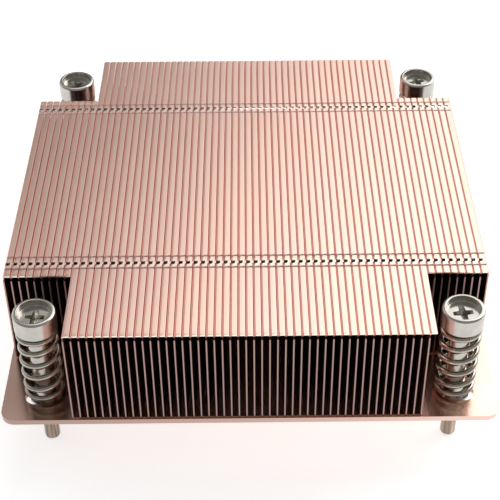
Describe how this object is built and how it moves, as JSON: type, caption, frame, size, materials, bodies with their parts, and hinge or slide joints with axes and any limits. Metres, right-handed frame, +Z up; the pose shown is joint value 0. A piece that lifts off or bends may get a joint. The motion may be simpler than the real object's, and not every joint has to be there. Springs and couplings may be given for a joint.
{
  "type": "passive server cpu heatsink",
  "caption": "Low passive copper heatsink for a server processor: interlocked folded fins on a flat plate, held by sprung captive screws at the corners.",
  "frame": {"origin": "centre of the screw pattern on the underside of the plate, the face that meets the processor", "axes": "+Z up through the fins, away from the processor; +Y along the fins towards the rear; +X across the fins to the right"},
  "size_m": [0.09, 0.09, 0.0322],
  "materials": {
    "plate_copper": "bare copper plate, lightly brushed",
    "fin_copper": "bare copper sheet, clean, with fine rolling lines",
    "screw_nickel": "nickel-plated steel, polished",
    "spring_steel": "nickel-plated spring wire, polished",
    "clip_steel": "plain spring steel"
  },
  "bodies": {
    "cooler": {"base_plate": "plate_copper", "fin_01": "fin_copper", "fin_02": "fin_copper", "fin_03": "fin_copper", "fin_04": "fin_copper", "fin_05": "fin_copper", "fin_06": "fin_copper", "fin_07": "fin_copper", "fin_08": "fin_copper", "fin_09": "fin_copper", "fins_10_11": "fin_copper", "fins_12_13": "fin_copper", "fins_14_15": "fin_copper", "fins_16_17": "fin_copper", "fins_18_19": "fin_copper", "fins_20_21": "fin_copper", "fins_22_23": "fin_copper", "fins_24_25": "fin_copper", "fins_26_27": "fin_copper", "fins_28_29": "fin_copper", "fins_30_31": "fin_copper", "fins_32_33": "fin_copper", "fins_34_35": "fin_copper", "fins_36_37": "fin_copper", "fins_38_39": "fin_copper", "fins_40_41": "fin_copper", "fins_42_43": "fin_copper", "fins_44_45": "fin_copper", "fins_46_47": "fin_copper", "fins_48_49": "fin_copper", "fins_50_51": "fin_copper", "fins_52_53": "fin_copper", "fins_54_55": "fin_copper", "fin_56": "fin_copper", "fin_57": "fin_copper", "fin_58": "fin_copper", "fin_59": "fin_copper", "fin_60": "fin_copper", "fin_61": "fin_copper", "fin_62": "fin_copper", "fin_63": "fin_copper", "fin_64": "fin_copper", "spring_front_left": "spring_steel", "spring_front_right": "spring_steel", "spring_rear_left": "spring_steel", "spring_rear_right": "spring_steel"},
    "clip_front_left": {"clip_front_left": "clip_steel"},
    "screw_front_left": {"screw_front_left": "screw_nickel"},
    "clip_front_right": {"clip_front_right": "clip_steel"},
    "screw_front_right": {"screw_front_right": "screw_nickel"},
    "clip_rear_left": {"clip_rear_left": "clip_steel"},
    "screw_rear_left": {"screw_rear_left": "screw_nickel"},
    "clip_rear_right": {"clip_rear_right": "clip_steel"},
    "screw_rear_right": {"screw_rear_right": "screw_nickel"}
  },
  "joints": [
    {"name": "push_front_left", "type": "slide", "parent": "cooler", "child": "clip_front_left", "axis": [0, 0, -1], "range_m": [0, 0.005], "stiffness_N_per_m": 9300, "springref_m": -0.002, "deforming": ["spring_front_left"]},
    {"name": "turn_front_left", "type": "hinge", "parent": "clip_front_left", "child": "screw_front_left", "pos_m": [-0.0375, -0.0375, 0], "axis": [0, 0, 1], "continuous": true},
    {"name": "push_front_right", "type": "slide", "parent": "cooler", "child": "clip_front_right", "axis": [0, 0, -1], "range_m": [0, 0.005], "stiffness_N_per_m": 9300, "springref_m": -0.002, "deforming": ["spring_front_right"]},
    {"name": "turn_front_right", "type": "hinge", "parent": "clip_front_right", "child": "screw_front_right", "pos_m": [0.0375, -0.0375, 0], "axis": [0, 0, 1], "continuous": true},
    {"name": "push_rear_left", "type": "slide", "parent": "cooler", "child": "clip_rear_left", "axis": [0, 0, -1], "range_m": [0, 0.005], "stiffness_N_per_m": 9300, "springref_m": -0.002, "deforming": ["spring_rear_left"]},
    {"name": "turn_rear_left", "type": "hinge", "parent": "clip_rear_left", "child": "screw_rear_left", "pos_m": [-0.0375, 0.0375, 0], "axis": [0, 0, 1], "continuous": true},
    {"name": "push_rear_right", "type": "slide", "parent": "cooler", "child": "clip_rear_right", "axis": [0, 0, -1], "range_m": [0, 0.005], "stiffness_N_per_m": 9300, "springref_m": -0.002, "deforming": ["spring_rear_right"]},
    {"name": "turn_rear_right", "type": "hinge", "parent": "clip_rear_right", "child": "screw_rear_right", "pos_m": [0.0375, 0.0375, 0], "axis": [0, 0, 1], "continuous": true}
  ]
}
